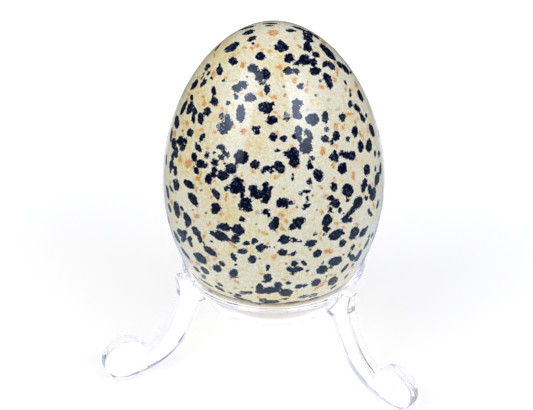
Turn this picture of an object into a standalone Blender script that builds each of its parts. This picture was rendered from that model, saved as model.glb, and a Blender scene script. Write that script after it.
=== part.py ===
"""Polished spotted stone egg on a clear three-legged stand.

Metres, +Z up, with the surface that the feet stand on at z = 0. The origin is the
middle of the footprint's box. The egg's axis is upright and stands a little in front
of the origin, because one leg reaches back and two reach forward to the sides.
"""
import math

import bmesh
import bpy
from mathutils import Matrix, Vector

MM = 0.001

# The egg, a turned solid with its blunt end down
EGG_NOMINAL_RADIUS = 19.1 * MM
EGG_HALF_HEIGHT = 28.0 * MM
EGG_TAPER = 0.071
EGG_SLIMNESS = 0.047
EGG_BOTTOM_Z = 8.95 * MM
EGG_ROWS = 32
EGG_STEPS = 64

# The collar, a thin tapered ring that the egg sits in
COLLAR_TOP_Z = 19.2 * MM
COLLAR_BOTTOM_Z = 13.65 * MM
COLLAR_INNER_TOP = 15.45 * MM
COLLAR_OUTER_TOP = 16.6 * MM
COLLAR_INNER_BOTTOM = 11.95 * MM
COLLAR_OUTER_BOTTOM = 13.0 * MM
COLLAR_RIM_ROUNDING = 0.58 * MM
COLLAR_FOOT_ROUNDING = 0.25 * MM
COLLAR_STEPS = 84

# The legs, three upright plates that each end in a round foot
LEG_ANGLES = (90.0, 210.0, 330.0)
LEG_THICKNESS = 2.4 * MM
LEG_EDGE_ROUNDING = 0.4 * MM
LEG_EDGE_SEGMENTS = 2
LEG_TOP_Z = 19.1 * MM
SHOULDER_REACH = 18.1 * MM
FOOT_REACH = 27.75 * MM
FOOT_RADIUS = 4.1 * MM
FOOT_FLAT_DEPTH = 0.05 * MM

# Where the root of a leg ends, inside the collar's wall
ROOT_TOP = (15.6 * MM, LEG_TOP_Z)
ROOT_BOTTOM = (12.6 * MM, 13.75 * MM)

# The leg's outer edge from the shoulder down to the foot, as reach and height
OUTER_EDGE = [
    (SHOULDER_REACH, 18.7 * MM), (17.75 * MM, 17.0 * MM), (17.75 * MM, 15.2 * MM),
    (18.25 * MM, 13.2 * MM), (19.15 * MM, 10.8 * MM), (20.45 * MM, 8.3 * MM),
    (22.0 * MM, 6.3 * MM),
]
# The leg's underside from the foot back up to the collar
UNDERSIDE = [
    (24.0 * MM, 1.0 * MM), (21.5 * MM, 2.1 * MM), (19.15 * MM, 3.75 * MM),
    (17.1 * MM, 6.15 * MM), (15.5 * MM, 9.3 * MM), (14.6 * MM, 11.6 * MM),
]
WEB_CORNER = (14.0 * MM, 13.15 * MM)
EDGE_POINTS_PER_SPAN = 3
# Directions from the foot's centre, in degrees: where its rim meets the leg's outer edge
# and its underside, and the step between points round the rim
CREASE_ANGLE = 167.0
UNDERSIDE_ANGLE = -115.0
FOOT_ARC_STEP = 13.0

# Distances below which points count as one
TURN_MERGE = 0.01 * MM
CAP_MERGE = 0.005 * MM
# Bends sharper than this, in degrees, are rounded on the legs
SHARP_BEND = 40.0


def egg_profile():
    """Returns the egg's radius and height from its tip down to its blunt end."""
    profile = []
    for row in range(EGG_ROWS + 1):
        angle = math.pi / 2 - math.pi * row / EGG_ROWS
        rise = math.sin(angle)
        radius = EGG_NOMINAL_RADIUS * math.cos(angle)
        radius *= 1 - EGG_TAPER * rise - EGG_SLIMNESS * rise * rise
        height = EGG_BOTTOM_Z + EGG_HALF_HEIGHT * (1 + rise)
        profile.append((max(radius, 0.0), height))
    profile[0] = (0.0, profile[0][1])
    profile[-1] = (0.0, profile[-1][1])
    return profile


def egg_widest():
    """Returns the largest radius of the egg's profile."""
    return max(radius for radius, height in egg_profile())


# The footprint runs from the egg's belly in front to the back foot's tip
AXIS_Y = (egg_widest() - FOOT_REACH - FOOT_RADIUS) / 2


def make_material(name, colour, roughness, transmission=0.0, ior=1.5):
    """Returns a named Principled material."""
    material = bpy.data.materials.new(name)
    material.use_nodes = True
    shader = material.node_tree.nodes["Principled BSDF"]
    shader.inputs["Base Color"].default_value = (*colour, 1.0)
    shader.inputs["Roughness"].default_value = roughness
    shader.inputs["Metallic"].default_value = 0.0
    shader.inputs["Transmission Weight"].default_value = transmission
    shader.inputs["IOR"].default_value = ior
    return material


def make_collection(name):
    """Returns a new collection in the scene."""
    collection = bpy.data.collections.new(name)
    bpy.context.scene.collection.children.link(collection)
    return collection


def turned_object(name, profile, steps, closed, collection):
    """Makes a profile of radius and height points and turns it about the upright axis."""
    mesh = bpy.data.meshes.new(name)
    count = len(profile)
    edges = [(i, i + 1) for i in range(count - 1)]
    if closed:
        edges.append((count - 1, 0))
    mesh.from_pydata([(radius, 0.0, height) for radius, height in profile], edges, [])
    obj = bpy.data.objects.new(name, mesh)
    obj.location = (0.0, AXIS_Y, 0.0)
    collection.objects.link(obj)
    screw = obj.modifiers.new("turn", "SCREW")
    screw.steps = steps
    screw.render_steps = steps
    screw.use_merge_vertices = True
    screw.merge_threshold = TURN_MERGE
    screw.use_smooth_shade = True
    return obj


def rounded_corner(before, corner, after, radius, segments):
    """Returns points on the arc that rounds one corner of a flat outline."""
    before, corner, after = Vector(before), Vector(corner), Vector(after)
    to_before = (before - corner).normalized()
    to_after = (after - corner).normalized()
    half = to_before.angle(to_after) / 2
    setback = radius / math.tan(half)
    centre = corner + (to_before + to_after).normalized() * (radius / math.sin(half))
    start = corner + to_before * setback - centre
    turn = math.pi - 2 * half
    sign = 1 if to_before.cross(to_after) < 0 else -1
    points = []
    for i in range(segments + 1):
        spoke = start.copy()
        spoke.rotate(Matrix.Rotation(sign * turn * i / segments, 2))
        points.append(tuple(centre + spoke))
    return points


def collar_profile():
    """Returns the collar's section, down its outer side and back up its inner side."""
    corners = [
        ((COLLAR_OUTER_TOP, COLLAR_TOP_Z), COLLAR_RIM_ROUNDING, 5),
        ((COLLAR_OUTER_BOTTOM, COLLAR_BOTTOM_Z), COLLAR_FOOT_ROUNDING, 2),
        ((COLLAR_INNER_BOTTOM, COLLAR_BOTTOM_Z), COLLAR_FOOT_ROUNDING, 2),
        ((COLLAR_INNER_TOP, COLLAR_TOP_Z), 0.0, 0),
    ]
    section = []
    for i, (corner, radius, segments) in enumerate(corners):
        before = corners[i - 1][0]
        after = corners[(i + 1) % len(corners)][0]
        if radius:
            section += rounded_corner(before, corner, after, radius, segments)
        else:
            section.append(corner)
    return section


def smooth_through(points, per_span):
    """Returns points on a smooth curve through the given ones, both ends included."""
    curve = []
    last = len(points) - 1
    for i in range(last):
        p0 = Vector(points[max(i - 1, 0)])
        p1 = Vector(points[i])
        p2 = Vector(points[i + 1])
        p3 = Vector(points[min(i + 2, last)])
        for k in range(per_span):
            t = k / per_span
            curve.append(tuple(
                0.5 * (2 * p1 + (p2 - p0) * t + (2 * p0 - 5 * p1 + 4 * p2 - p3) * t ** 2
                       + (3 * p1 - p0 - 3 * p2 + p3) * t ** 3)
            ))
    curve.append(tuple(points[-1]))
    return curve


def foot_arc():
    """Returns the round foot's rim from the crease with the leg, over the top and under."""
    centre_z = FOOT_RADIUS - FOOT_FLAT_DEPTH
    flat_angle = math.degrees(math.asin(centre_z / FOOT_RADIUS))
    over = round(CREASE_ANGLE / FOOT_ARC_STEP)
    angles = [CREASE_ANGLE * (1 - i / over) for i in range(over + 1)]
    under = round(flat_angle / FOOT_ARC_STEP)
    angles += [-flat_angle * (i + 1) / under for i in range(under)]
    angles += [flat_angle - 180.0, UNDERSIDE_ANGLE]
    points = []
    for angle in angles:
        a = math.radians(angle)
        reach = FOOT_REACH + FOOT_RADIUS * math.cos(a)
        points.append((reach, centre_z + FOOT_RADIUS * math.sin(a)))
    return points


def leg_outline():
    """Returns the leg's closed outline in its own upright plane."""
    foot = foot_arc()
    outer = smooth_through(OUTER_EDGE + [foot[0]], EDGE_POINTS_PER_SPAN)
    under = smooth_through([foot[-1]] + UNDERSIDE + [WEB_CORNER], EDGE_POINTS_PER_SPAN)
    shoulder = (SHOULDER_REACH, LEG_TOP_Z)
    return [ROOT_TOP, shoulder] + outer + foot[1:] + under[1:] + [ROOT_BOTTOM]


def mesh_from_outline(name, outline, thickness):
    """Extrudes a flat outline to a closed plate, centred on its own plane."""
    curve = bpy.data.curves.new(name, "CURVE")
    curve.dimensions = "2D"
    curve.fill_mode = "BOTH"
    curve.extrude = thickness / 2
    spline = curve.splines.new("POLY")
    spline.points.add(len(outline) - 1)
    for point, (x, y) in zip(spline.points, outline):
        point.co = (x, y, 0.0, 1.0)
    spline.use_cyclic_u = True
    guide = bpy.data.objects.new(name, curve)
    bpy.context.scene.collection.objects.link(guide)
    bpy.context.view_layer.update()
    evaluated = guide.evaluated_get(bpy.context.evaluated_depsgraph_get())
    mesh = bpy.data.meshes.new_from_object(evaluated)
    bpy.data.objects.remove(guide)
    work = bmesh.new()
    work.from_mesh(mesh)
    bmesh.ops.remove_doubles(work, verts=work.verts, dist=CAP_MERGE)
    bmesh.ops.recalc_face_normals(work, faces=work.faces)
    work.to_mesh(mesh)
    work.free()
    mesh.name = name
    return mesh


def add_leg(mesh, angle, collection):
    """Stands one leg plate at its angle about the egg's axis."""
    leg = bpy.data.objects.new("leg_%d" % angle, mesh)
    upright = Matrix.Rotation(math.radians(90), 4, "X")
    turned = Matrix.Rotation(math.radians(angle), 4, "Z")
    leg.matrix_world = Matrix.Translation((0.0, AXIS_Y, 0.0)) @ turned @ upright
    leg.hide_render = True
    leg.display_type = "WIRE"
    collection.objects.link(leg)
    bevel = leg.modifiers.new("edges", "BEVEL")
    bevel.width = LEG_EDGE_ROUNDING
    bevel.segments = LEG_EDGE_SEGMENTS
    bevel.limit_method = "ANGLE"
    bevel.angle_limit = math.radians(SHARP_BEND)
    bevel.use_clamp_overlap = False
    return leg


def build_egg(collection):
    """The egg, one solid stone."""
    egg = turned_object("egg", egg_profile(), EGG_STEPS, False, collection)
    egg.data.materials.append(make_material("spotted_stone", (0.70, 0.66, 0.50), 0.12))


def build_stand(collection, cutters):
    """The stand, one moulded piece: the collar with the legs joined on."""
    stand = turned_object("stand", collar_profile(), COLLAR_STEPS, True, collection)
    leg_mesh = mesh_from_outline("leg_plate", leg_outline(), LEG_THICKNESS)
    for angle in LEG_ANGLES:
        join = stand.modifiers.new("join_leg", "BOOLEAN")
        join.operation = "UNION"
        join.solver = "EXACT"
        join.object = add_leg(leg_mesh, angle, cutters)
    stand.modifiers.new("shading", "WEIGHTED_NORMAL")
    clear = make_material("clear_plastic", (1.0, 1.0, 1.0), 0.03, transmission=1.0, ior=1.49)
    stand.data.materials.append(clear)


def main():
    for obj in list(bpy.data.objects):
        bpy.data.objects.remove(obj)
    collection = make_collection("egg_on_stand")
    cutters = make_collection("leg_shapes")
    build_egg(collection)
    build_stand(collection, cutters)


main()
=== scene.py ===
"""Looks of the polished spotted stone egg on its clear three-legged stand.

The egg is a dense smooth mesh on the CAD egg's own formula. Its spots and flecks are laid
down as smooth distances on the mesh's points, and the stone's material turns them into
ragged crystal edges. The spots that the photograph shows are placed from it, and
the rest of the egg gets seeded spots of the same kinds, sizes and density. The stand is
the CAD stand's own outline with finer curves.
"""
import math

import bmesh
import bpy
import numpy as np
from mathutils import Matrix, Vector


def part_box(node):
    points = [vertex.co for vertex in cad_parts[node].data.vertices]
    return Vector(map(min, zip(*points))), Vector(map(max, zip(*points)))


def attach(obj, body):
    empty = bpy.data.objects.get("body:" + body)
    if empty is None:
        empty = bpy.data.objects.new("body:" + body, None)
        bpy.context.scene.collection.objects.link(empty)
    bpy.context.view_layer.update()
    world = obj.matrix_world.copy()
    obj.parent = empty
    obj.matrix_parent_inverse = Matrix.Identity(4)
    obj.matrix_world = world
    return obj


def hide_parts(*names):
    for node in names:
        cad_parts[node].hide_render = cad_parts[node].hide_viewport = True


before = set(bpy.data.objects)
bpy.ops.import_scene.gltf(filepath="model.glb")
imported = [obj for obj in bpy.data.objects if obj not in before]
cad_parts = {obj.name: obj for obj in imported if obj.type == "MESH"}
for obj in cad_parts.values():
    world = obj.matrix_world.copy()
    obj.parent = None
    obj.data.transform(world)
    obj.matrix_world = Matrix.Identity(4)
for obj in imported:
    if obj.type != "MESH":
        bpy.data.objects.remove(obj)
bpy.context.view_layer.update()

MM = 0.001
SEED = 20

# The egg's profile, as in the CAD
EGG_NOMINAL_RADIUS = 19.1 * MM
EGG_TAPER = 0.071
EGG_SLIMNESS = 0.047
# Steps along each edge of the six faces that its mesh is made of
EGG_GRID = 120

# Where the egg stands, from the frame
egg_low, egg_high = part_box("egg")
AXIS_X = (egg_low.x + egg_high.x) / 2
AXIS_Y = (egg_low.y + egg_high.y) / 2
EGG_BOTTOM_Z = egg_low.z
EGG_HALF_HEIGHT = (egg_high.z - egg_low.z) / 2
AXIS = Vector((AXIS_X, AXIS_Y, 0.0))
EGG_MIDDLE = AXIS + Vector((0.0, 0.0, EGG_BOTTOM_Z + EGG_HALF_HEIGHT))

# The camera, as fitted to the photograph, which is 533 by 410 pixels
PHOTO_WIDTH, PHOTO_HEIGHT = 533, 410
FOCAL_PIXELS = 2500.0
SENSOR_WIDTH = 36.0
CAMERA_DISTANCE = 434.5 * MM
CAMERA_ELEVATION = 32.87
CAMERA_AZIMUTH = 280.0
AIM_HEIGHT = 30.02 * MM
AIM_SIDE = -1.24 * MM
NEAREST_SEEN = 10 * MM
FARTHEST_SEEN = 20.0

# Where a ray through the photograph is searched for the egg, before and behind the
# distance aimed at, in how many steps, and how often the last step is halved
SEARCH_DEPTH = 45 * MM
SEARCH_STEPS = 901
HALVINGS = 16

# Spots that the photograph shows, read from it: place, width, height and, where it
# isn't 0, tilt, in the photograph's pixels and in degrees, positive where it rises to the right
# A few thin marks along the collar's rim in these lists are painted contact shadow, not crystals; each is
# marked where it stands
DARK_SPOTS = [
    # along the top
    (271, 23, 14, 1.3), (269.5, 25.2, 7, 1.2), (247.5, 27.2, 14, 1.5, 18), (291, 30.1, 8.5, 3, -4),
    (300, 28.1, 14, 1.9, -19), (316, 36, 7.5, 1.6, -38), (248.8, 31.6, 10.4, 4, 17),
    (309.5, 34.6, 8, 3.4, -40), (307.5, 37.6, 8.5, 4.6, -10), (311, 40.4, 5, 2.4, -15),
    (304.5, 33, 3.6, 4.4), (310.6, 32.4, 7, 1.6, -35), (307.8, 41.8, 5.4, 2.4),
    (252, 38.2, 8.8, 3.8, 27), (253, 42.4, 1.8, 1.8), (233.2, 45.9, 12, 5.4, 36),
    (229.5, 49.8, 8, 3.4, 20), (227.5, 47.4, 8, 2.4, 36), (217.8, 46.8, 10, 1.1, 50),
    (281.8, 46.3, 13.8, 8), (280.6, 42.2, 5.4, 5), (281.5, 48.8, 8, 5), (307.4, 46.3, 7.8, 7.4),
    (309.4, 49.6, 5, 3.4), (316.2, 54.1, 8.2, 4.8, -20), (328.2, 51.5, 20.6, 5.8, -47),
    (260.4, 55.7, 9.2, 7.4), (289.1, 57.6, 9.2, 9), (304.4, 59.2, 10, 10.2), (313, 61.8, 7.4, 7.2),
    (297.5, 62.6, 7, 4.4, 26), (233, 60.8, 8, 7.6), (325.8, 63.3, 5, 5), (324.4, 65.6, 4, 2.6),
    (331.2, 65, 10.5, 5, -50), (339.7, 64.2, 8, 3.2, -55), (345.6, 68.4, 12.4, 3.8, -55),
    (351, 71.8, 1.6, 3), (208.1, 65.3, 4.2, 4.2), (206.4, 68.4, 2.8, 3.8), (219.6, 70.2, 6.2, 8),
    (220.2, 65, 2.2, 3.4), (208.5, 72.8, 4.6, 1.8, 50), (203.7, 73, 3.4, 1.3, 55),
    (211.4, 77.6, 2.4, 2.8), (202, 77.2, 3.4, 1.4, 50), (203.6, 78.8, 2, 1, 50),
    # below them, down to the egg's upper third
    (203.4, 82.7, 8.8, 3.6, 52), (194.5, 84.2, 11.5, 4, 58), (223.6, 80.2, 3.2, 3),
    (213.6, 90.4, 5, 7.6), (212.4, 96.5, 2.2, 2.8), (214.2, 101, 8, 7.4), (191.6, 97.3, 2.8, 6.5),
    (183.5, 107.5, 14.6, 3.6, 67), (189.9, 107.6, 12.8, 5.6, 70), (194.4, 110.8, 4.6, 7),
    (193.4, 117.3, 4, 10), (200.8, 118, 5.4, 11.4), (207.2, 111.5, 6.4, 7.6), (176.6, 121.4, 4.3, 12.6),
    (252.8, 68, 10, 8), (256.8, 71.4, 6, 3.4), (259.6, 76, 8.6, 8.6), (265.2, 73.7, 9.6, 10.6),
    (266.7, 88.6, 4.8, 8), (268.2, 90.6, 3, 3), (270, 85.5, 1.6, 1.6), (236.8, 87.8, 9.2, 6.4),
    (242.9, 84.2, 8.4, 6.8, -15), (247.7, 97.9, 7, 6), (249.6, 94.6, 4.2, 4), (252.6, 97.8, 6.4, 6),
    (236, 96, 3.4, 5.4, 15), (228.4, 102.4, 3.6, 3.6), (240.8, 113.2, 8.6, 16.4),
    (266.2, 107.5, 12.6, 11.6), (272, 104, 4.4, 4), (315.2, 70.5, 10.2, 7.8), (288.3, 70.3, 8.6, 7),
    (296.2, 70.8, 5.6, 5.2), (327.2, 77, 11, 6.6, -48), (330.3, 85, 4.8, 7.6), (327.4, 81.8, 3, 3),
    (320.6, 80.4, 2, 2), (300.3, 85.7, 5.4, 5.6), (345.4, 82, 5, 1.6, -60), (350.2, 89.6, 1.7, 4),
    (350.4, 94.3, 1.5, 3.6), (360.4, 95, 12, 3.6, -68), (350.1, 103.1, 4, 6.8),
    (357.3, 107.8, 8.6, 4.4, -52), (366.2, 114.7, 1.8, 4), (362.7, 117.8, 9.5, 3.4, -65),
    (296.4, 102.8, 8, 8.2), (301, 103, 4, 5), (295.9, 109.4, 7, 9.4), (297.6, 115.3, 8.6, 6.8),
    (312.8, 118.9, 12.4, 11.2), (325.3, 116.3, 6.2, 11), (342.5, 116.6, 6.6, 7.8), (271.9, 118.9, 9, 7),
    (270.6, 121.3, 8, 5), (274.8, 119.6, 5, 5),
    # the egg's middle, left part
    (171.1, 134.2, 14, 2.2, 84), (166.3, 159.5, 10, 1.1, 88), (177.2, 141.6, 2.4, 3),
    (189.9, 132.2, 5.8, 8.4), (202, 136.9, 8, 4.6, 62), (173.8, 143, 4.4, 10.6),
    (175.8, 151.8, 4.2, 11), (172.7, 155.7, 2.6, 7), (180.8, 141, 5.8, 10), (185.4, 141, 3.4, 6.2),
    (182.3, 147, 5, 6.6), (198.2, 147.5, 9.4, 5, -62), (194.1, 156.9, 5.4, 8.2),
    (206.5, 154.8, 3.6, 5.4), (209, 152.6, 2, 2), (213.8, 152.4, 2, 2), (220.8, 146.5, 8.4, 4.8, -12),
    (224.4, 152, 11, 3.2, -55), (227.4, 154.3, 3.8, 5.4), (221.1, 156.9, 6, 4, -28),
    (228, 124, 9, 10.2), (224, 131, 6.6, 5.6), (241.4, 156.8, 13.2, 13.2), (214.8, 161.8, 6.6, 6),
    (200.4, 163.4, 8, 8.2), (205, 165, 4.6, 4.8), (214.4, 169.6, 6, 7), (230.6, 168.5, 10.2, 9.6),
    (235.6, 165.3, 3, 2.4), (225.4, 163, 2.4, 1.6), (222.9, 175, 10.6, 9), (221.2, 172, 5, 4),
    (213.2, 175, 6.4, 4.8), (208.4, 178.4, 6.4, 9.4), (196.2, 170.3, 7.6, 4.6, -60),
    (171.5, 164.5, 4.2, 9.4), (175.3, 170.5, 3.2, 10), (170.4, 170.3, 1.2, 4), (255, 164.2, 8.2, 8.6),
    (263.2, 171, 4, 3.4), (267, 167.6, 7, 5.4), (272, 167.3, 3.4, 4), (271.5, 171, 3.4, 3.6),
    (188.8, 183.8, 12.4, 6.8, -36), (176.4, 185.7, 5.4, 8.8), (174.2, 180.7, 2.6, 3),
    (177, 180, 2, 2.4), (171.2, 188.4, 7, 1.8, -66), (167.7, 192, 14, 2.4, -80),
    (235.7, 186.6, 11.6, 13.6), (236, 179.6, 5.6, 6.4), (239.8, 181.2, 6.4, 6.6), (242, 188.4, 5.8, 8),
    (226.8, 187.8, 4.6, 4.6), (200.8, 190, 2, 2), (215.8, 193.5, 12, 6, -49),
    (192.9, 198.6, 14, 6.8, -58), (196, 203.8, 5.6, 2.2, -60), (242.2, 195.2, 4.2, 6),
    (245.7, 201.6, 10.6, 8), (247.7, 207.6, 8.6, 8), (241.3, 204.6, 5.4, 8), (249.4, 200, 4, 4),
    (253.4, 188.5, 7.6, 9), (251.9, 192.4, 3.6, 5), (258, 193.9, 11.6, 9.2), (266.4, 193.2, 9, 14),
    (265.5, 184.8, 6.4, 6.4), (270.4, 187.1, 5, 3.4), (265, 200.6, 6.4, 5), (249.6, 188.6, 2.4, 2),
    (215.8, 206, 8, 7), (215, 210.2, 7.2, 6.6), (219, 208.6, 3.6, 3.4), (176.6, 209, 15.4, 5, -78),
    (169.6, 207.6, 9, 2, -74), (181.8, 208, 4.8, 1.8, -55), (265.6, 211.2, 6.6, 5.2),
    (269, 214.4, 2.8, 5), (257, 131.3, 5, 4.8),
    # the egg's middle, right part
    (273.1, 136.5, 6.8, 7.8), (283.8, 138.4, 6.4, 4.8), (298.9, 130, 7, 8.2), (296.4, 135.4, 7.4, 6),
    (300.1, 139, 4.2, 7.8), (306.8, 131.7, 4.6, 6), (309.8, 135.5, 5.4, 8), (305.7, 147.5, 12.2, 11.4),
    (307.2, 141.7, 9, 6), (325.4, 138.2, 7.2, 6.4), (336.2, 135.5, 6.8, 8.8), (331.5, 142.2, 3.2, 4.8),
    (355, 131.2, 5.8, 10.4), (348, 138.6, 3.8, 4.2), (371.9, 129.9, 12.4, 3.8, -74),
    (360.8, 146, 5.2, 11.4), (369, 145, 5.8, 13.4), (277.8, 149.8, 5, 2.6), (292.9, 153.8, 14, 10),
    (294.2, 160.4, 10.2, 12), (292.8, 148.8, 4.6, 3.6), (286, 153, 4.6, 4), (278.5, 166.2, 9.2, 9.4),
    (282.7, 167.2, 4, 6), (280.8, 171, 4.4, 3.4), (334.6, 152.6, 3, 5), (331.6, 156.6, 4, 6.6),
    (336.2, 157.8, 4.8, 8), (342, 152.8, 4.6, 4.8), (346.2, 155, 7.4, 6.6), (352.3, 155.3, 6.4, 9.4),
    (310, 165.6, 6.2, 5.6), (309.8, 160.4, 2.6, 4), (318, 174.6, 12.2, 8.8, -60),
    (342.6, 168.1, 8.6, 10.8), (367, 169.5, 6.2, 9.8), (375.4, 168, 1.6, 4.6), (380.4, 168.5, 2.2, 11),
    (377.2, 178.4, 13, 4.8, 80), (333.8, 186.8, 6.6, 8), (348, 190.3, 10.4, 13), (347.7, 199.5, 2.8, 4),
    (364.2, 185, 13, 5.2, 75), (370, 187.6, 3.8, 6), (369.6, 191.5, 3, 3),
    (373.2, 193.8, 13.6, 5.6, 80), (366.5, 197.6, 3, 4.2), (375, 153.4, 1.9, 6), (379, 153.4, 2, 6),
    (306.4, 190.8, 7, 2.8), (307.7, 198.4, 2.2, 3.6), (307, 205.3, 6.4, 4.2, 12),
    (304.2, 208.2, 2.8, 2.6), (283, 201.6, 12, 7.6), (290.8, 202.2, 5.4, 3.2), (279.4, 205.4, 4.6, 3),
    (286, 205.8, 4, 3.4), (330.8, 197.6, 7.4, 4.8, 10), (336.2, 203.4, 7.6, 8.8),
    (331.2, 203.4, 3.6, 2.6), (330.8, 209.2, 2.4, 4), (330.8, 211.3, 3.4, 2.4), (340, 209.5, 3.2, 5.4),
    (343.5, 213.4, 1.6, 1.6), (358.4, 202.2, 12.2, 8.8, 60), (352.5, 209.5, 9, 4.4, 55),
    (347.3, 215.3, 9, 4, 45), (369, 210.6, 2.6, 4.6), (370.8, 213.6, 2.4, 4), (377.7, 204, 8, 1.8, 76),
    # the egg's lower left
    (186.8, 217.6, 12, 5.4, -66), (188, 222.2, 5.4, 8), (242.4, 218.7, 5.6, 4.6, -20),
    (196.2, 231.2, 13, 6, -55), (200.1, 238.6, 7.4, 4, -66), (203, 241.6, 4, 1.4, -60),
    (225, 226.4, 10.6, 7.6, -20), (218.4, 226.8, 3.4, 3.4), (238, 229.4, 13.2, 9.6, -25),
    (235.2, 238.4, 8.2, 8), (220.5, 235.6, 14, 8.8, -26), (212.4, 233, 6.4, 4, -35),
    (227, 238.3, 6, 4, -30), (211.7, 241, 2.4, 1.8), (180.5, 232.4, 9.4, 5, -50),
    (184.5, 233.4, 4.4, 7), (183.3, 238.6, 4.4, 6), (189.6, 238.8, 4.2, 5.4),
    (191.3, 244, 5.4, 2.6, -56), (176.5, 236.5, 13, 2.8, -63), (185, 252.6, 15, 2.2, -54),
    (209.8, 250.8, 15, 6, -36), (200, 257.6, 15.4, 7.2, -40), (221.7, 263.4, 6.4, 4, -36),
    (217, 268, 8.8, 6.2, -32), (204.9, 270.3, 10, 4.2, -45), (196.5, 268.7, 8, 2.2, -45),
    (232.7, 255.4, 4, 4.4), (235.1, 258.4, 4.4, 4.2), (242.2, 251, 9.4, 4.8), (246, 243.1, 5.6, 4.2),
    (254.6, 240.7, 5.6, 5.6), (260.5, 247.4, 8, 7.6), (265.8, 246.3, 6, 2.8), (252, 259, 7.8, 7.4),
    (236.2, 264.4, 2.4, 1.4), (267.7, 267.2, 4, 5.2), (233.5, 272.4, 7.8, 7.2), (267.9, 277.4, 8, 8.2),
    (265, 281, 4, 2), (259.5, 286.8, 6.4, 6.4), (261.4, 290.8, 11, 5.4), (269, 290, 13, 6.4, 6),
    (220.8, 289, 7, 2.4, -30), (237.6, 294.8, 6.8, 2.2, -16), (230.4, 292.6, 4, 1.4, -15),
    # (268, 301.6) and (206, 282.4) in the next row and (241.8, 298.5) in the row after are painted contact
    # shadow where the egg enters the collar
    (268, 301.6, 13, 2.4), (210.5, 291.2, 6, 1.8, -35), (206, 282.4, 16, 1.4, -33),
    (241.8, 298.5, 19, 1.4, -16), (258.8, 303.5, 5, 1.4, -6),
    # the egg's lower right
    (273.6, 225.4, 9, 9.4), (275.4, 218.2, 5, 3.4), (277.4, 221.4, 3.8, 5), (298.8, 221.1, 12, 8.6, 15),
    (292.4, 226, 8, 5.4, 52), (298.8, 226.6, 4, 3.4), (327, 220.3, 12.4, 9, 62), (326.6, 228.9, 7, 5.6),
    (345.4, 219.8, 7.4, 5.8), (350.4, 219.8, 3.6, 4.4), (335.9, 234.3, 16.2, 8.6, 30),
    (342.4, 232.8, 4, 2.8), (355.2, 231, 9, 7.4, 60), (352, 236.3, 5.4, 5.6), (363, 232, 11, 4.6, 56),
    (367.3, 227, 4, 1.5, 65), (371.5, 214.9, 3, 1.8), (284.4, 239.1, 9.8, 9.4), (279.4, 239.5, 3, 3),
    (294.4, 239.6, 5.4, 4.2), (300.2, 240.7, 1.8, 1.6), (310.7, 243.1, 11, 6.2, 14),
    (315.2, 234, 3.8, 2.8), (324, 234.4, 2.2, 1.8), (342.7, 242.8, 7.8, 5.6, 44),
    (352.9, 246.7, 6.8, 2.6, 62), (369.2, 235.5, 3.6, 1.5, 66), (372.3, 234.4, 5, 1.4, 66),
    (366.6, 243.2, 11, 1.9, 63), (358.8, 254.8, 12, 3.2, 62), (282.8, 252.1, 8.8, 6.2),
    (293.1, 253, 5.6, 3.2, 22), (317.3, 253.2, 9.4, 6, 42), (349.2, 253.9, 6, 2.2, 60),
    (352.4, 257.2, 6, 6), (356.4, 258.8, 5, 3, 50), (335.8, 260.8, 13.8, 8, 22),
    (330.8, 266.8, 2.6, 1.6, 20), (323, 262.3, 3, 1.4, 65), (294.2, 263.2, 5.8, 6),
    (303.5, 262.5, 5.8, 3.4, -40), (291.2, 269.6, 8, 4.4, -22), (292.7, 273.2, 4, 2.4),
    (298.5, 269, 8, 4.4, 10), (308, 269.8, 2.8, 1.6, 20), (322.4, 269.2, 11.2, 7.6, 24),
    (345, 267.5, 10, 2.6, 51), (352.7, 264.4, 2.4, 1.4, 50), (346.2, 276, 6, 1.4, 50),
    (333, 280.8, 11.2, 6, 36), (288.5, 282.3, 5, 2.8), (316.4, 282, 10.2, 6, 24),
    (299, 286.2, 7, 3.8, 6), (304.4, 285.2, 5.6, 2.8, 14), (286.1, 292.2, 13, 7.2),
    # (313.5, 298.3) in the next row and (273.6, 301) and (292.8, 302) in the row after are painted contact
    # shadow along the collar's rim
    (278.4, 284.7, 8, 6.4), (275.8, 289, 10, 5), (303, 296.6, 8.4, 1.3, 6), (313.5, 298.3, 11, 1.5, 18),
    (284.6, 298.5, 5.6, 1.3, 3), (273.6, 301, 12, 2.8), (292.8, 302, 13, 1.5, 8),
    (333.4, 286.6, 6, 1.6, 35),
]
# Where a place read from the photograph lies against the middle of its pixel
READING_SHIFT = (0.0, 0.45)
# Spots with pale crystals showing through them
MOTTLED_SPOTS = [
    (220.8, 127, 8, 8.4), (261.8, 82, 5.2, 4.4), (261.4, 106.4, 6, 8), (221.6, 115.7, 4.6, 7.2),
    (227.4, 116.8, 4.4, 5), (286.4, 116.4, 6.6, 8), (326.5, 129.2, 4.6, 5.4), (311.5, 157.6, 4.4, 4.8),
    (309.6, 181, 5.2, 5.8), (234.6, 276.7, 6, 2.4), (254.6, 128, 4.8, 4.4), (258.8, 127.2, 4.4, 2.4),
    (217.6, 287, 5.4, 2.6, -32), (219.6, 284, 6, 2.4, -34), (203.8, 276.4, 5.4, 3, -45),
    (243.4, 292.3, 6.6, 2.8, -8), (249.6, 292.2, 4.6, 2.8, -12), (303.5, 296.2, 9, 2.6, 10),
    # (263, 299.9) at the end of the next row is painted contact shadow along the collar's rim
    (313, 294.8, 9.6, 2.8, 18), (292.9, 176.6, 2.2, 5.4), (300.4, 193, 3.4, 3), (263, 299.9, 7.4, 3.4),
]
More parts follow.
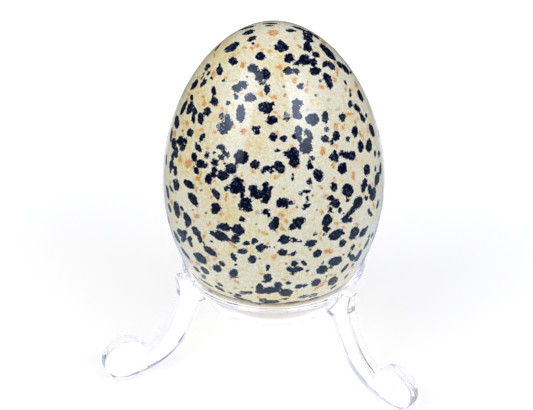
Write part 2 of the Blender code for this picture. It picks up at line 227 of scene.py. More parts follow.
# Dark crystals just under the surface, seen as soft grey-blue smudges
SMUDGES = [
    (328.5, 100, 3.4, 3.4), (307.3, 109.7, 3.8, 2.8), (337.4, 109, 4.4, 2.2), (352.6, 103, 3, 6),
    (274.6, 149, 5, 2.2), (208.8, 155.6, 3.6, 5), (310.8, 162, 3, 3), (319.6, 167.6, 3.2, 2.6),
    (311.5, 186, 3.6, 3.6), (303, 190.7, 3, 2.2), (257.3, 212.2, 4, 4), (267, 178.8, 2.4, 2.4),
    (270.4, 45.4, 3.4, 1.4), (296, 259.6, 8, 2.4), (235.4, 287.8, 5, 2.6), (217, 274.8, 2.6, 1.8),
    (268.4, 219, 2.4, 4), (204.4, 138.6, 3, 5.6), (226, 111.6, 4, 2), (240.6, 88.4, 7, 3, -20),
    (341, 238.6, 2.4, 2.4), (221, 209.6, 3, 3.6), (252.4, 92.4, 4.4, 2.6),
]
# Rusty and salmon flecks in the cream stone
RUST_FLECKS = [
    (272.7, 32.4, 12, 5), (244.6, 47, 4.4, 2.4), (251.5, 47.5, 5, 4.4), (257.3, 45.5, 6, 3.6, -10),
    (260.8, 49.2, 4.4, 2.6), (270, 51, 4, 2.8), (233.5, 54, 3.4, 3), (230.8, 56.8, 3.4, 4),
    (238, 52, 2.6, 2.6), (214.2, 54, 2.6, 3.4), (243, 63.5, 5, 4.6), (242.7, 66.6, 2.4, 2.2),
    (213.8, 73.5, 4, 5.6), (225.4, 77, 2.6, 2.8), (198.5, 76.6, 3, 2.6), (206, 68.5, 3.6, 3.6),
    (237, 79.4, 3, 2.4), (256.5, 85.5, 2.6, 2), (260.8, 93, 5.4, 3.6), (242.3, 93.2, 3, 1.6),
    (189.2, 94.3, 4, 4), (197.7, 92.4, 2.6, 3), (203, 95.5, 3, 3), (204.2, 102.8, 3.6, 7),
    (187.3, 99, 3, 4), (273.8, 96.8, 9.6, 3.8, -8), (216.2, 105, 6.4, 3), (222.7, 109.3, 2.6, 3),
    (209.6, 121, 2.2, 2.2), (238, 70.5, 1.8, 1.4), (253, 42.8, 2, 2), (279.6, 66.6, 6, 5),
    (295.4, 38.6, 3.8, 2), (298.8, 45.9, 4.8, 2.8, -25), (315, 47, 2.8, 2.8), (317.3, 51.6, 2, 2),
    (294.6, 79.3, 4, 6.8), (282.3, 74.3, 2.2, 4), (307.3, 81.6, 2.6, 2.6), (305.4, 85.8, 4, 2.2),
    (306.5, 89.7, 3.8, 5), (322, 86.6, 5.6, 3.4), (285.8, 95.5, 3, 3), (311.5, 99.7, 2.6, 2),
    (285.8, 105.8, 2.4, 2.2), (334.6, 62, 3, 4.4), (337, 71, 3.4, 9), (334, 79, 4, 5),
    (356.2, 84.3, 8, 2.4, -62), (345.8, 89, 3, 5), (352, 90.5, 2, 4), (349.6, 113.5, 8, 2.8),
    (293.5, 115.8, 4, 3, 20), (275, 112, 5.4, 3.4), (279.2, 116.6, 5, 3), (357.7, 119.3, 2.6, 3.4),
    (323.5, 42, 7, 2.4, -42), (243.5, 130.8, 6.6, 6.4), (214.8, 131.5, 4, 3.8), (186.5, 122.5, 3, 5),
    (183, 122.5, 2.2, 3.4), (174.4, 133.8, 3, 6.6), (183, 135.6, 2, 4), (202, 129.6, 4, 2.6, -20),
    (233.8, 125.7, 2.8, 3), (208.3, 148, 2.4, 5), (180.2, 158.8, 3.4, 8.6), (188.4, 162.6, 6.6, 8.4),
    (193, 167.3, 3.4, 4.4), (199.4, 175, 4, 9), (197, 178, 3, 4), (200.4, 181.8, 2.2, 3),
    (223, 161, 3, 2.8, -30), (240.8, 175.5, 4, 3.2), (235.8, 175.3, 3, 3), (252.7, 171, 4.6, 4.8),
    (244.8, 185, 2, 3), (226, 193.8, 5, 3.6), (225.8, 198.8, 3.2, 6), (234.2, 197.2, 4, 3.8),
    (211, 196.5, 3.4, 2.6), (196.2, 189.5, 3, 5), (175.8, 192.6, 2, 3), (172, 201.8, 2.4, 6),
    (181, 213.4, 3, 5), (197.2, 215.9, 5, 4.8), (220.8, 214, 5, 3.2, -20), (170, 182, 2, 5),
    (268.5, 125.7, 4, 2.8), (214, 181, 5, 2.2), (209.2, 183.8, 2.8, 2), (336.2, 124.5, 5, 4),
    (338, 128.4, 4.4, 3.8), (343.5, 127.2, 2.8, 4.6), (355.8, 121.4, 2.6, 3.6),
    (325.8, 124.5, 3.6, 2.6), (276.5, 132.6, 3, 5), (279.2, 136, 2.6, 2.6), (360.4, 133.4, 6, 2.4, -62),
    (363, 137.6, 2.6, 4), (368.5, 128, 2, 8), (292.7, 145, 4, 2.8), (323, 151, 5, 7.6),
    (335, 145.7, 3.8, 3.8), (333.5, 165, 3.8, 8.6), (334.2, 178.8, 3.6, 5.6), (353.5, 175.7, 3.4, 7.6),
    (276.5, 176.5, 4.4, 4.6), (298.8, 165.2, 2.6, 6.6), (296, 168, 3, 2), (320.8, 186.5, 3, 3.4),
    (326.5, 195.7, 5.6, 3.2, 15), (328, 207.2, 2.4, 4), (321.5, 212.2, 3.8, 3.6),
    (281.2, 215.2, 5.4, 5.4), (363, 192.6, 2.6, 4.6), (373.8, 205, 2.2, 6.6), (294.2, 201.2, 4, 2.4),
    (289, 162.6, 2, 5), (372.7, 184, 2, 4), (355.8, 160, 2.6, 2), (232.5, 244.5, 10, 3.4, -43),
    (229, 240.2, 3.4, 3.4), (247.3, 249, 3.4, 3.8), (203.8, 236, 2.8, 3.8), (209.6, 223.6, 3.6, 3.4),
    (218.5, 221.7, 2.8, 2.6), (193.8, 220.2, 2, 3), (176.5, 221.7, 2, 3), (263.5, 232, 9, 2.8, -22),
    (273.6, 256.7, 5.4, 4.8), (215, 249, 2.6, 2.4), (217.3, 254.4, 3, 2), (207, 257, 3.8, 3.4),
    (209.2, 259.8, 2.6, 2.6), (214.6, 258.2, 3, 2), (210.4, 267.5, 2.2, 3),
    (190.8, 260.2, 5.4, 2.4, -48), (197.7, 262.8, 4, 3, -40), (230.8, 277, 3, 4),
    (235.8, 280.5, 6, 2.4, -20), (262.3, 273.6, 5, 2), (258.5, 297.5, 4.6, 1.8, -8),
    (217.5, 295, 8, 2, -30), (216.5, 279.8, 3, 1.8), (229.6, 253.8, 3, 1.2), (286.5, 221, 4.4, 6),
    (283.5, 228.4, 8.6, 3.4, -50), (281.2, 225, 3.4, 3.6), (277, 232.5, 3, 2.8), (288.8, 255.2, 3, 2.2),
    (336.5, 222.8, 4.6, 3.6), (343.8, 227, 2.8, 2.8), (356.5, 224, 3.6, 3), (320, 232.8, 4.6, 3.4),
    (320.4, 238.6, 3.8, 3.4), (328.8, 251, 9, 4.4), (313.5, 274.4, 3, 2), (331, 274, 4, 2.4, 20),
    (335, 274.8, 2, 2.4), (283.8, 279, 6, 2.4, -32), (295.8, 290.2, 4, 1.8), (318.8, 286.3, 7, 2, 22),
    (324.2, 281.7, 6.4, 2.8, 52), (315.4, 289, 4, 1.6, 15), (352.7, 267, 3, 1.8, 45),
    (355.8, 237.6, 2, 4.4), (359.6, 244.8, 1.8, 3), (268, 243, 2.6, 1.8),
]
# Tiny dark red dots
RED_DOTS = [
    (247, 76.3, 1.6, 1.6), (283.8, 86.2, 1.9, 1.9), (315.7, 94.8, 2.2, 2), (182.5, 130.3, 1.4, 1.6),
    (206, 212.6, 1.9, 1.9), (192.7, 209.5, 1.4, 1.4), (312.5, 195, 1.4, 1.6), (296.7, 206.6, 2, 1.8),
    (283.8, 188.2, 1.6, 1.4), (317, 209.5, 1.4, 1.4), (343.5, 254.2, 1.8, 1.6), (259.6, 258, 1.8, 1.4),
    (252.3, 287, 1.8, 1.2), (310, 249, 2.6, 2.2), (274.3, 246.9, 1.6, 1.6), (286.2, 263.2, 1.8, 1.6),
    (300.6, 46.8, 1.8, 1.6), (256.2, 223.5, 1.3, 1.3), (241.6, 130.9, 2.2, 1.2), (326.5, 276, 2, 2),
]
# Painted contact shadow round the egg: a thin dark line where the collar's rim meets the
# polish, and painted brown shade that goes down from it into the collar, in mm from the line
PAINTED_RIM_SHADOW_Z = 20.0 * MM
PAINTED_RIM_SHADOW_HALF = 0.08
PAINTED_RIM_SHADE_DEPTH = 0.75
# Broad warm clouds (positive) and whitish places (negative): place, size and strength. Most are the stone's
# own tone; two whitish places are partly painted sheen and one thin warm band is painted shade, as marked
# below
CLOUDS_AND_PAINTED_LIGHT = [
    (215, 60, 44, 40, 0.9), (196, 100, 26, 60, 0.7), (188, 150, 30, 70, 0.8), (283, 66, 34, 22, 0.7),
    # (300, 100) and (238, 90) in the next row whiten the stone where the soft boxes are mirrored: partly the
    # stone's pale tone, partly painted sheen
    (260, 64, 30, 20, 0.4), (300, 100, 46, 60, -0.4), (238, 90, 46, 50, -0.3), (345, 105, 40, 40, 0.25),
    (330, 150, 40, 50, -0.4), (300, 190, 70, 50, -0.55), (225, 215, 50, 30, 0.45),
    (205, 185, 34, 30, 0.4), (250, 210, 30, 26, 0.3), (280, 222, 26, 26, 0.5), (240, 270, 60, 30, 0.15),
    # (275, 300) at the end of the next row is painted shade along the collar's rim
    (320, 240, 50, 40, 0.3), (275, 300, 60, 8, 0.9),
]
# The listed spots, under the names of the attributes that hold their distances
LISTED = {
    "dark": DARK_SPOTS,
    "mottled": MOTTLED_SPOTS,
    "smudge": SMUDGES,
    "rust": RUST_FLECKS,
    "reds": RED_DOTS,
}
# The seeded spots on the rest of the egg: how many, their middle size and how much sizes
# spread, the smallest and the largest in mm, how many of its own widths each keeps from its
# like, and how much longer than wide it may be
MORE = {
    "dark": dict(count=215, median=1.75, spread=0.42, low=0.45, high=3.4, room=0.92),
    "mottled": dict(count=24, median=1.4, spread=0.3, low=0.8, high=2.2, room=1.0),
    "smudge": dict(count=22, median=0.8, spread=0.3, low=0.4, high=1.4, room=1.0),
    "rust": dict(count=170, median=0.95, spread=0.4, low=0.4, high=2.0, room=0.6, stretch=2.4),
    "reds": dict(count=22, median=0.34, spread=0.2, low=0.25, high=0.45, room=1.0, stretch=1.2),
}
# Smaller dark spots in the gaps between those
SMALL_DARK = dict(count=240, median=1.25, spread=0.35, low=0.45, high=2.3, room=0.72)
MOST_TRIES = 60000
# No seeded spot goes where the egg faces the photograph's camera by more than this cosine
SEEN_FACING = 0.12
# How far past its own edge a seeded spot keeps from the middle of one already placed
CLEARANCE = 0.7 * MM
# The share of the seeded spots that have a second lobe
LOBE_CHANCE = 0.35

# How much of each kind of spot's form is polygon, the rest being ellipse
POLYGON_SHARES = {"dark": 0.55, "mottled": 0.5, "smudge": 0.2, "rust": 0.2, "reds": 0.3}
# A polygon's least number of corners and the number it stays under, and how far in or out
# its sides may lie
CORNERS = (5, 8)
TRIMS = (0.86, 1.04)
# How far outside a spot its distance is worked out, in mm
SPOT_REACH = 3.0
# How fast a cloud thins out from its middle
CLOUD_FADE = 1.2


def camera_axes():
    """Returns the camera's place and its forward, right and up directions."""
    around = math.radians(CAMERA_AZIMUTH)
    rise = math.radians(CAMERA_ELEVATION)
    outward = Vector((math.cos(around), math.sin(around), 0.0))
    sideways = Vector((-math.sin(around), math.cos(around), 0.0))
    place = AXIS + outward * CAMERA_DISTANCE * math.cos(rise)
    place.z = AIM_HEIGHT + CAMERA_DISTANCE * math.sin(rise)
    aim = AXIS + Vector((0.0, 0.0, AIM_HEIGHT)) + sideways * AIM_SIDE
    forward = (aim - place).normalized()
    right = forward.cross(Vector((0.0, 0.0, 1.0))).normalized()
    up = right.cross(forward)
    return place, forward, right, up


def linked(name, data):
    """Returns a new object of that mesh, light or camera, in the scene."""
    obj = bpy.data.objects.new(name, data)
    bpy.context.scene.collection.objects.link(obj)
    return obj


def add_camera():
    """Sets the camera at the photograph's viewing angle."""
    place, forward, right, up = camera_axes()
    data = bpy.data.cameras.new("photo_camera")
    data.sensor_fit = "HORIZONTAL"
    data.sensor_width = SENSOR_WIDTH
    data.lens = FOCAL_PIXELS / PHOTO_WIDTH * SENSOR_WIDTH
    data.clip_start = NEAREST_SEEN
    data.clip_end = FARTHEST_SEEN
    camera = linked("photo_camera", data)
    camera.matrix_world = Matrix((
        (right.x, up.x, -forward.x, place.x),
        (right.y, up.y, -forward.y, place.y),
        (right.z, up.z, -forward.z, place.z),
        (0.0, 0.0, 0.0, 1.0),
    ))
    bpy.context.scene.camera = camera


def profile_pull(rise):
    """Returns what a sphere's radius becomes on the egg, for a rise from -1 at its bottom to 1."""
    return EGG_NOMINAL_RADIUS * (1 - EGG_TAPER * rise - EGG_SLIMNESS * rise ** 2)


def stone_radius(height):
    """Returns the egg's radius at heights above the floor, as arrays."""
    rise = np.clip((height - EGG_BOTTOM_Z) / EGG_HALF_HEIGHT - 1, -1, 1)
    return profile_pull(rise) * np.sqrt(1 - rise ** 2)


def egg_points(directions):
    """Returns the egg's points in a sphere's directions, one to a row."""
    rise = directions[:, 2]
    pull = profile_pull(rise)
    return np.stack([AXIS_X + pull * directions[:, 0], AXIS_Y + pull * directions[:, 1],
                     EGG_BOTTOM_Z + EGG_HALF_HEIGHT * (1 + rise)], axis=1)


def inside_egg(points):
    """Says for each point whether it lies inside the egg."""
    across = np.hypot(points[..., 0] - AXIS_X, points[..., 1] - AXIS_Y)
    level = np.abs(points[..., 2] - EGG_BOTTOM_Z - EGG_HALF_HEIGHT) < EGG_HALF_HEIGHT
    return level & (across < stone_radius(points[..., 2]))


def first_hits(pixels):
    """Returns where rays through the photograph's pixels first meet the egg, or nan rows."""
    place, forward, right, up = (np.array(v) for v in camera_axes())
    pixels = np.asarray(pixels, float)
    rays = (forward + (pixels[:, :1] - PHOTO_WIDTH / 2) / FOCAL_PIXELS * right
            - (pixels[:, 1:2] - PHOTO_HEIGHT / 2) / FOCAL_PIXELS * up)
    rays /= np.linalg.norm(rays, axis=1)[:, None]
    steps = np.linspace(CAMERA_DISTANCE - SEARCH_DEPTH, CAMERA_DISTANCE + SEARCH_DEPTH, SEARCH_STEPS)
    struck = inside_egg(place + steps[None, :, None] * rays[:, None, :])
    first = struck.argmax(axis=1)
    far = steps[first]
    close = steps[np.maximum(first - 1, 0)]
    for _ in range(HALVINGS):
        middle = (far + close) / 2
        hit = inside_egg(place + middle[:, None] * rays)
        far = np.where(hit, middle, far)
        close = np.where(hit, close, middle)
    points = place + far[:, None] * rays
    points[~struck.any(axis=1)] = np.nan
    return points


def half_axis(centre, plus, minus):
    """Returns a spot's half axis from its two ends, one of which may miss the egg."""
    if np.isnan(plus).any():
        return centre - minus
    if np.isnan(minus).any():
        return plus - centre
    return (plus - minus) / 2


def spots_on_egg(listed):
    """Turns spots read from the photograph into centres and half axes on the egg."""
    centres, across, along = [], [], []
    for x, y, width, height, *tilt in listed:
        angle = math.radians(tilt[0] if tilt else 0)
        u = np.array([math.cos(angle), -math.sin(angle)]) * width / 2
        v = np.array([math.sin(angle), math.cos(angle)]) * height / 2
        c = np.array([x, y]) + READING_SHIFT
        centre, u_plus, u_minus, v_plus, v_minus = first_hits([c, c + u, c - u, c + v, c - v])
        sides = (half_axis(centre, u_plus, u_minus), half_axis(centre, v_plus, v_minus))
        if np.isnan(centre).any() or np.isnan(sides).any():
            continue
        centres.append(centre)
        across.append(sides[0])
        along.append(sides[1])
    return np.array(centres), np.array(across), np.array(along)


def egg_mesh():
    """Returns the egg's mesh, a sphere's grid of six faces drawn out to the egg's form."""
    ticks = np.tan(np.linspace(-math.pi / 4, math.pi / 4, EGG_GRID + 1))
    a, b = np.meshgrid(ticks, ticks, indexing="ij")
    one = np.ones_like(a)
    sides = [(one, a, b), (-one, -a, b), (-a, one, b), (a, -one, b), (-b, a, one), (b, a, -one)]
    points, faces = [], []
    size = EGG_GRID + 1
    for k, side in enumerate(sides):
        points.append(np.stack([s.ravel() for s in side], axis=1))
        index = np.arange(size * size).reshape(size, size) + k * size * size
        corners = [index[:-1, :-1], index[1:, :-1], index[1:, 1:], index[:-1, 1:]]
        faces.append(np.stack(corners, axis=-1).reshape(-1, 4))
    points = np.concatenate(points)
    points /= np.linalg.norm(points, axis=1)[:, None]
    _, first, same = np.unique(np.round(points, 6), axis=0, return_index=True, return_inverse=True)
    faces = same.ravel()[np.concatenate(faces)]
    mesh = bpy.data.meshes.new("polished_egg")
    mesh.from_pydata(egg_points(points[first]).tolist(), [], faces.tolist())
    mesh.validate()
    mesh.shade_smooth()
    work = bmesh.new()
    work.from_mesh(mesh)
    bmesh.ops.recalc_face_normals(work, faces=work.faces)
    work.to_mesh(mesh)
    work.free()
    return mesh


def outward_normals(points):
    """Returns the egg's outward directions at points on it."""
    step = 0.01 * MM
    least = 0.001 * MM
    radius = np.maximum(stone_radius(points[:, 2]), least)
    slope = (stone_radius(points[:, 2] + step) - stone_radius(points[:, 2] - step)) / (2 * step)
    n = np.stack([(points[:, 0] - AXIS_X) / radius, (points[:, 1] - AXIS_Y) / radius, -slope], axis=1)
    return n / np.linalg.norm(n, axis=1)[:, None]


def spot_distances(points, spots, rng, polygon_share):
    """Returns each point's distance in mm to the nearest spot's edge, below 0 inside it.

    A spot is part ellipse and part polygon, so that it has a crystal's corners.
    """
    distance = np.full(len(points), SPOT_REACH)
    for centre, u, v in zip(*spots):
        phase = rng.uniform(0, 2 * math.pi)
        corners = rng.integers(*CORNERS)
        trims = rng.uniform(*TRIMS, corners)
        size = math.sqrt(np.linalg.norm(np.cross(u, v))) / MM
        longest = max(np.linalg.norm(u), np.linalg.norm(v)) + SPOT_REACH * MM
        offset = points - centre
        near = np.flatnonzero((offset ** 2).sum(axis=1) < longest ** 2)
        basis = np.linalg.pinv(np.stack([u, v], axis=1))
        a, b = basis @ offset[near].T
        polygon = np.zeros(len(near))
        for k in range(corners):
            turn = phase + 2 * math.pi * k / corners
            polygon = np.maximum(polygon, (a * math.cos(turn) + b * math.sin(turn)) / trims[k])
        gauge = (1 - polygon_share) * np.hypot(a, b) + polygon_share * polygon
        distance[near] = np.minimum(distance[near], (gauge - 1) * size)
    return distance


def random_spots(rng, taken, count, median, spread, low, high, room, stretch=1.7):
    """Strews seeded spots over the part of the egg that the photograph doesn't show.

    taken holds the centres of the spots already placed. The sizes are in mm.
    """
    place = np.array(camera_axes()[0])
    centres, across, along = [], [], []
    held = []
    tries = 0
    while len(centres) < count and tries < MOST_TRIES:
        tries += 1
        direction = rng.normal(size=3)
        direction /= np.linalg.norm(direction)
        point = egg_points(direction[None])[0]
        normal = outward_normals(point[None])[0]
        if normal @ (place - point) > SEEN_FACING * np.linalg.norm(place - point):
            continue
        size = float(np.clip(rng.lognormal(math.log(median), spread), low, high)) * MM
        if (np.linalg.norm(taken - point, axis=1) < size / 2 + CLEARANCE).any():
            continue
        if any(np.linalg.norm(c - point) < room * (size + s) / 2 for c, s in held):
            continue
        held.append((point, size))
        side = np.cross(normal, rng.normal(size=3))
        side /= np.linalg.norm(side)
        other = np.cross(normal, side)
        ratio = rng.uniform(1.0, stretch)
        long_half = size / 2 * math.sqrt(ratio)
        short_half = size / 2 / math.sqrt(ratio)
        centres.append(point)
        across.append(side * long_half)
        along.append(other * short_half)
        if rng.random() < LOBE_CHANCE:
            sideways = side * long_half * rng.uniform(0.7, 1.1)
            centres.append(point + sideways + other * short_half * rng.uniform(-0.8, 0.8))
            share = rng.uniform(0.4, 0.75)
            across.append(side * long_half * share)
            along.append(other * long_half * share * rng.uniform(0.6, 1.0))
    return np.array(centres), np.array(across), np.array(along)


def join_spots(*groups):
    """Joins groups of centres and half axes."""
    return tuple(np.concatenate([g[i] for g in groups]) for i in range(3))


def cloud_and_painted_light_field(points):
    """Returns how warm or whitish the egg is painted at each point, from the listed clouds, with painted
    sheen and painted shade among them.
    """
    place = np.array(camera_axes()[0])
    facing = ((place - points) * outward_normals(points)).sum(axis=1) > 0
    field = np.zeros(len(points))
    for x, y, width, height, strength in CLOUDS_AND_PAINTED_LIGHT:
        centre, u_plus, u_minus, v_plus, v_minus = first_hits(
            [(x, y), (x + width / 2, y), (x - width / 2, y), (x, y + height / 2), (x, y - height / 2)])
        if np.isnan(centre).any():
            continue
        u = np.nanmax([np.linalg.norm(u_plus - centre), np.linalg.norm(u_minus - centre)])
        v = np.nanmax([np.linalg.norm(v_plus - centre), np.linalg.norm(v_minus - centre)])
        far = ((points - centre) ** 2).sum(axis=1) / (u * v)
        field += np.where(facing, strength * np.exp(-far * CLOUD_FADE), 0)
    return np.clip(field, -1, 1)


def store(mesh, name, values):
    """Keeps one number for each point of a mesh, for its material to read."""
    attribute = mesh.attributes.new(name, "FLOAT", "POINT")
    attribute.data.foreach_set("value", np.asarray(values, np.float32))


def store_spots(mesh, points):
    """Keeps each point's distance to every kind of spot, both listed and seeded."""
    rng = np.random.default_rng(SEED)
    gaps_rng = np.random.default_rng(SEED + 1)
    listed = {kind: spots_on_egg(spots) for kind, spots in LISTED.items()}
    seen = np.concatenate([listed["dark"][0], listed["mottled"][0]])
    more = {"dark": random_spots(rng, seen, **MORE["dark"])}
    taken = np.concatenate([seen, more["dark"][0]])
    for kind in ("mottled", "smudge", "rust", "reds"):
        # a rusty fleck may lie against a dark spot or under it
        kept_clear = taken[:0] if kind == "rust" else taken
        more[kind] = random_spots(rng, kept_clear, **MORE[kind])
    small_dark = random_spots(gaps_rng, taken, **SMALL_DARK)
    for kind, share in POLYGON_SHARES.items():
        distance = spot_distances(points, join_spots(listed[kind], more[kind]), rng, share)
        if kind == "dark":
            distance = np.minimum(distance, spot_distances(points, small_dark, gaps_rng, share))
        store(mesh, kind, distance)


class Nodes:
    """Short ways to add and join the nodes of a material or of the world."""

    def __init__(self, owner):
        owner.use_nodes = True
        self.tree = owner.node_tree

    def add(self, kind, **settings):
        """Adds a node of that kind."""
        node = self.tree.nodes.new("ShaderNode" + kind)
        for name, value in settings.items():
            setattr(node, name, value)
        return node

    def put(self, socket, value):
        """Joins another socket to this one, or sets it to a number or a colour."""
        if isinstance(value, bpy.types.NodeSocket):
            self.tree.links.new(value, socket)
        elif socket.type == "RGBA":
            socket.default_value = (*value, 1.0)
        else:
            socket.default_value = value

    def shader(self, **values):
        """Sets the Principled shader's sockets, with _ for each space in their names."""
        sockets = self.tree.nodes["Principled BSDF"].inputs
        for name, value in values.items():
            self.put(sockets[name.replace("_", " ")], value)

    def coordinates(self, unit):
        """Object coordinates in that unit."""
        scale = self.add("VectorMath", operation="SCALE")
        self.put(scale.inputs["Scale"], 1 / unit)
        self.put(scale.inputs[0], self.add("TexCoord").outputs["Object"])
        return scale.outputs[0]

    def noise(self, vector, scale, detail=3.0, roughness=0.5):
        """Smooth noise, mostly between 0.3 and 0.7."""
        node = self.add("TexNoise")
        self.put(node.inputs["Scale"], scale)
        self.put(node.inputs["Detail"], detail)
        self.put(node.inputs["Roughness"], roughness)
        self.put(node.inputs["Vector"], vector)
        return node.outputs["Fac"]

    def cells(self, vector, scale):
        """One number for each cell, from 0 to 1."""
        node = self.add("TexVoronoi")
        self.put(node.inputs["Scale"], scale)
        self.put(node.inputs["Vector"], vector)
        parts = self.add("SeparateColor")
        self.put(parts.inputs[0], node.outputs["Color"])
        return parts.outputs[0]

    def math(self, operation, *values):
        """Works out one number from others."""
        node = self.add("Math", operation=operation)
        for socket, value in zip(node.inputs, values):
            self.put(socket, value)
        return node.outputs[0]

    def ramp(self, value, low, high, start=0.0, end=1.0):
        """A smooth step from start to end as the value goes from low to high."""
        node = self.add("MapRange", interpolation_type="SMOOTHSTEP")
        ends = {"From Min": low, "From Max": high, "To Min": start, "To Max": end}
        for name, number in {"Value": value, **ends}.items():
            self.put(node.inputs[name], number)
        return node.outputs["Result"]

    def mix(self, share, first, second):
        """Goes from the first colour to the second with a share from 0 to 1."""
        node = self.add("Mix", data_type="RGBA")
        self.put(node.inputs[0], share)
        self.put(node.inputs[6], first)
        self.put(node.inputs[7], second)
        return node.outputs[2]

    def attribute(self, name):
        """A number kept on the mesh's points."""
        return self.add("Attribute", attribute_name=name).outputs["Fac"]

    def bump(self, height, strength, distance):
        """Tilts the surface as if it had that height."""
        node = self.add("Bump")
        self.put(node.inputs["Strength"], strength)
        self.put(node.inputs["Distance"], distance)
        self.put(node.inputs["Height"], height)
        return node.outputs["Normal"]

    def front_right_up(self, place):
        """Splits a place into how far it is to the front, to the right and up.

        The front is the fixed direction of the photograph's azimuth, whatever camera looks.
        """
        parts = self.add("SeparateXYZ")
        self.put(parts.inputs[0], place)
        front = math.radians(CAMERA_AZIMUTH)
        shares = []
        for angle in (front, front + math.pi / 2):
            x = self.math("MULTIPLY", parts.outputs["X"], math.cos(angle))
            y = self.math("MULTIPLY", parts.outputs["Y"], math.sin(angle))
            shares.append(self.math("ADD", x, y))
        return shares[0], shares[1], parts.outputs["Z"]


# How far a dark spot's edge strays, in mm: from crystal to crystal, and waving; and by how
# much all of them are spread
SPOT_STEP = 0.3
SPOT_RAGGED = 0.2
SPOT_SPREAD = 0.1

# The stone's colours
CREAM = (0.825, 0.805, 0.61)
WARM_CREAM = (0.81, 0.69, 0.32)
CHALK = (0.88, 0.87, 0.80)
PALE_GRAIN = (0.93, 0.93, 0.86)
DEEP_GRAIN = (0.67, 0.60, 0.36)
RUST = (0.70, 0.33, 0.08)
SALMON = (0.72, 0.33, 0.15)
DEEP_RUST = (0.42, 0.16, 0.05)
OCHRE = (0.82, 0.61, 0.21)
RED_BROWN = (0.16, 0.025, 0.015)
NAVY = (0.0012, 0.0028, 0.015)
SLATE = (0.068, 0.095, 0.17)
MOTTLE = (0.008, 0.016, 0.046)
PALE_CRYSTAL = (0.26, 0.31, 0.34)
HALO = (0.36, 0.41, 0.48)
# painted shade on the stone inside the collar, below the painted contact shadow line
PAINTED_RIM_SHADE = (0.34, 0.26, 0.12)


def cream_ground(n, place):
    """The cream feldspar: broad clouds, with painted sheen and painted shade among them, pale and deep
    crystal grains and ochre stains.
    """
    broad = n.math("MULTIPLY_ADD", n.noise(place, 0.16, 4.0), 2.6, -1.3)
    # the listed clouds, with painted sheen and painted shade among them, and broad random ones
    clouds = n.math("ADD", n.attribute("warmth_and_painted_light"), broad)
    ground = n.mix(n.ramp(clouds, 0.0, 1.0), CREAM, WARM_CREAM)
    ground = n.mix(n.ramp(clouds, -0.1, -1.0), ground, CHALK)
    ground = n.mix(n.ramp(n.cells(place, 2.9), 0.4, 1.0, 0.0, 0.75), ground, PALE_GRAIN)
    ground = n.mix(n.ramp(n.noise(place, 3.2, 2.0, 0.7), 0.52, 0.36, 0.0, 0.6), ground, DEEP_GRAIN)
    powder = n.noise(place, 5.6, 1.0)
    ground = n.mix(n.ramp(powder, 0.5, 0.3, 0.0, 0.5), ground, DEEP_GRAIN)
    ground = n.mix(n.ramp(powder, 0.5, 0.7, 0.0, 0.6), ground, PALE_GRAIN)
    # the stains are thickest in the warm clouds
    stain = n.math("ADD", n.noise(place, 0.9, 5.0, 0.7), n.math("MULTIPLY", clouds, 0.05))
    return n.mix(n.ramp(stain, 0.53, 0.66, 0.0, 0.85), ground, OCHRE)


def with_flecks(n, place, ground):
    """Adds the rusty flecks, the tiny dark red dots and the grey-blue smudges."""
    wander = n.math("MULTIPLY_ADD", n.noise(place, 1.5, 4.0, 0.65), 1.9, -0.95)
    # a fleck is broken into grains, in a wider ochre stain
    rust_edge = n.math("ADD", n.attribute("rust"), wander)
    ground = n.mix(n.ramp(rust_edge, 0.5, -0.25, 0.0, 0.45), ground, OCHRE)
    rust_colour = n.mix(n.ramp(n.noise(place, 0.3, 2.0), 0.42, 0.58), SALMON, RUST)
    grains = n.noise(place, 3.8, 2.0)
    rust_colour = n.mix(n.ramp(grains, 0.54, 0.68, 0.0, 0.6), rust_colour, DEEP_RUST)
    broken = n.ramp(grains, 0.36, 0.52, 0.4, 1.0)
    ground = n.mix(n.math("MULTIPLY", n.ramp(rust_edge, 0.14, -0.12), broken), ground, rust_colour)
    red_edge = n.math("ADD", n.attribute("reds"), n.math("MULTIPLY", wander, 0.1))
    ground = n.mix(n.ramp(red_edge, 0.18, 0.02, 0.0, 0.85), ground, RED_BROWN)
    # a smudge is a dark crystal below the surface
    smudge_edge = n.math("ADD", n.attribute("smudge"), n.math("MULTIPLY", wander, 0.5))
    return n.mix(n.ramp(smudge_edge, 0.25, -0.3, 0.0, 0.85), ground, HALO)


def with_dark_spots(n, place, ground):
    """Adds the dark and the mottled spots, whose edges step from crystal to crystal."""
    steps = n.math("MULTIPLY_ADD", n.cells(place, 3.4), SPOT_STEP, -SPOT_STEP / 2 - SPOT_SPREAD)
    ragged = n.math("MULTIPLY_ADD", n.noise(place, 2.8, 3.0, 0.6), 2 * SPOT_RAGGED, -SPOT_RAGGED)
    jitter = n.math("ADD", steps, ragged)
    # inside a dark spot: navy, with paler crystals here and there
    fine = n.noise(place, 3.6, 2.0, 0.7)
    spot_colour = n.mix(n.ramp(fine, 0.5, 0.7, 0.0, 0.8), NAVY, MOTTLE)
    spot_colour = n.mix(n.ramp(n.cells(place, 3.9), 0.82, 0.97, 0.0, 0.75), spot_colour, SLATE)
    fading = n.math("MULTIPLY", n.ramp(n.noise(place, 0.7, 3.0), 0.5, 0.68), n.ramp(fine, 0.5, 0.58))
    spot_colour = n.mix(n.math("MULTIPLY", fading, 0.6), spot_colour, SLATE)
    # from outside to inside: a chalky ring, a thin grey-blue edge and the spot
    dark_edge = n.math("ADD", n.attribute("dark"), jitter)
    colour = n.mix(n.ramp(dark_edge, 0.5, 0.12, 0.0, 0.35), ground, CHALK)
    colour = n.mix(n.ramp(dark_edge, 0.14, 0.02, 0.0, 0.4), colour, HALO)
    colour = n.mix(n.ramp(dark_edge, 0.04, -0.04), colour, spot_colour)
    # a mottled spot is broken by pale crystals
    mottled_edge = n.math("ADD", n.attribute("mottled"), jitter)
    crystals = n.mix(n.ramp(n.cells(place, 3.4), 0.62, 0.74), MOTTLE, PALE_CRYSTAL)
    return n.mix(n.ramp(mottled_edge, 0.06, -0.06), colour, crystals)


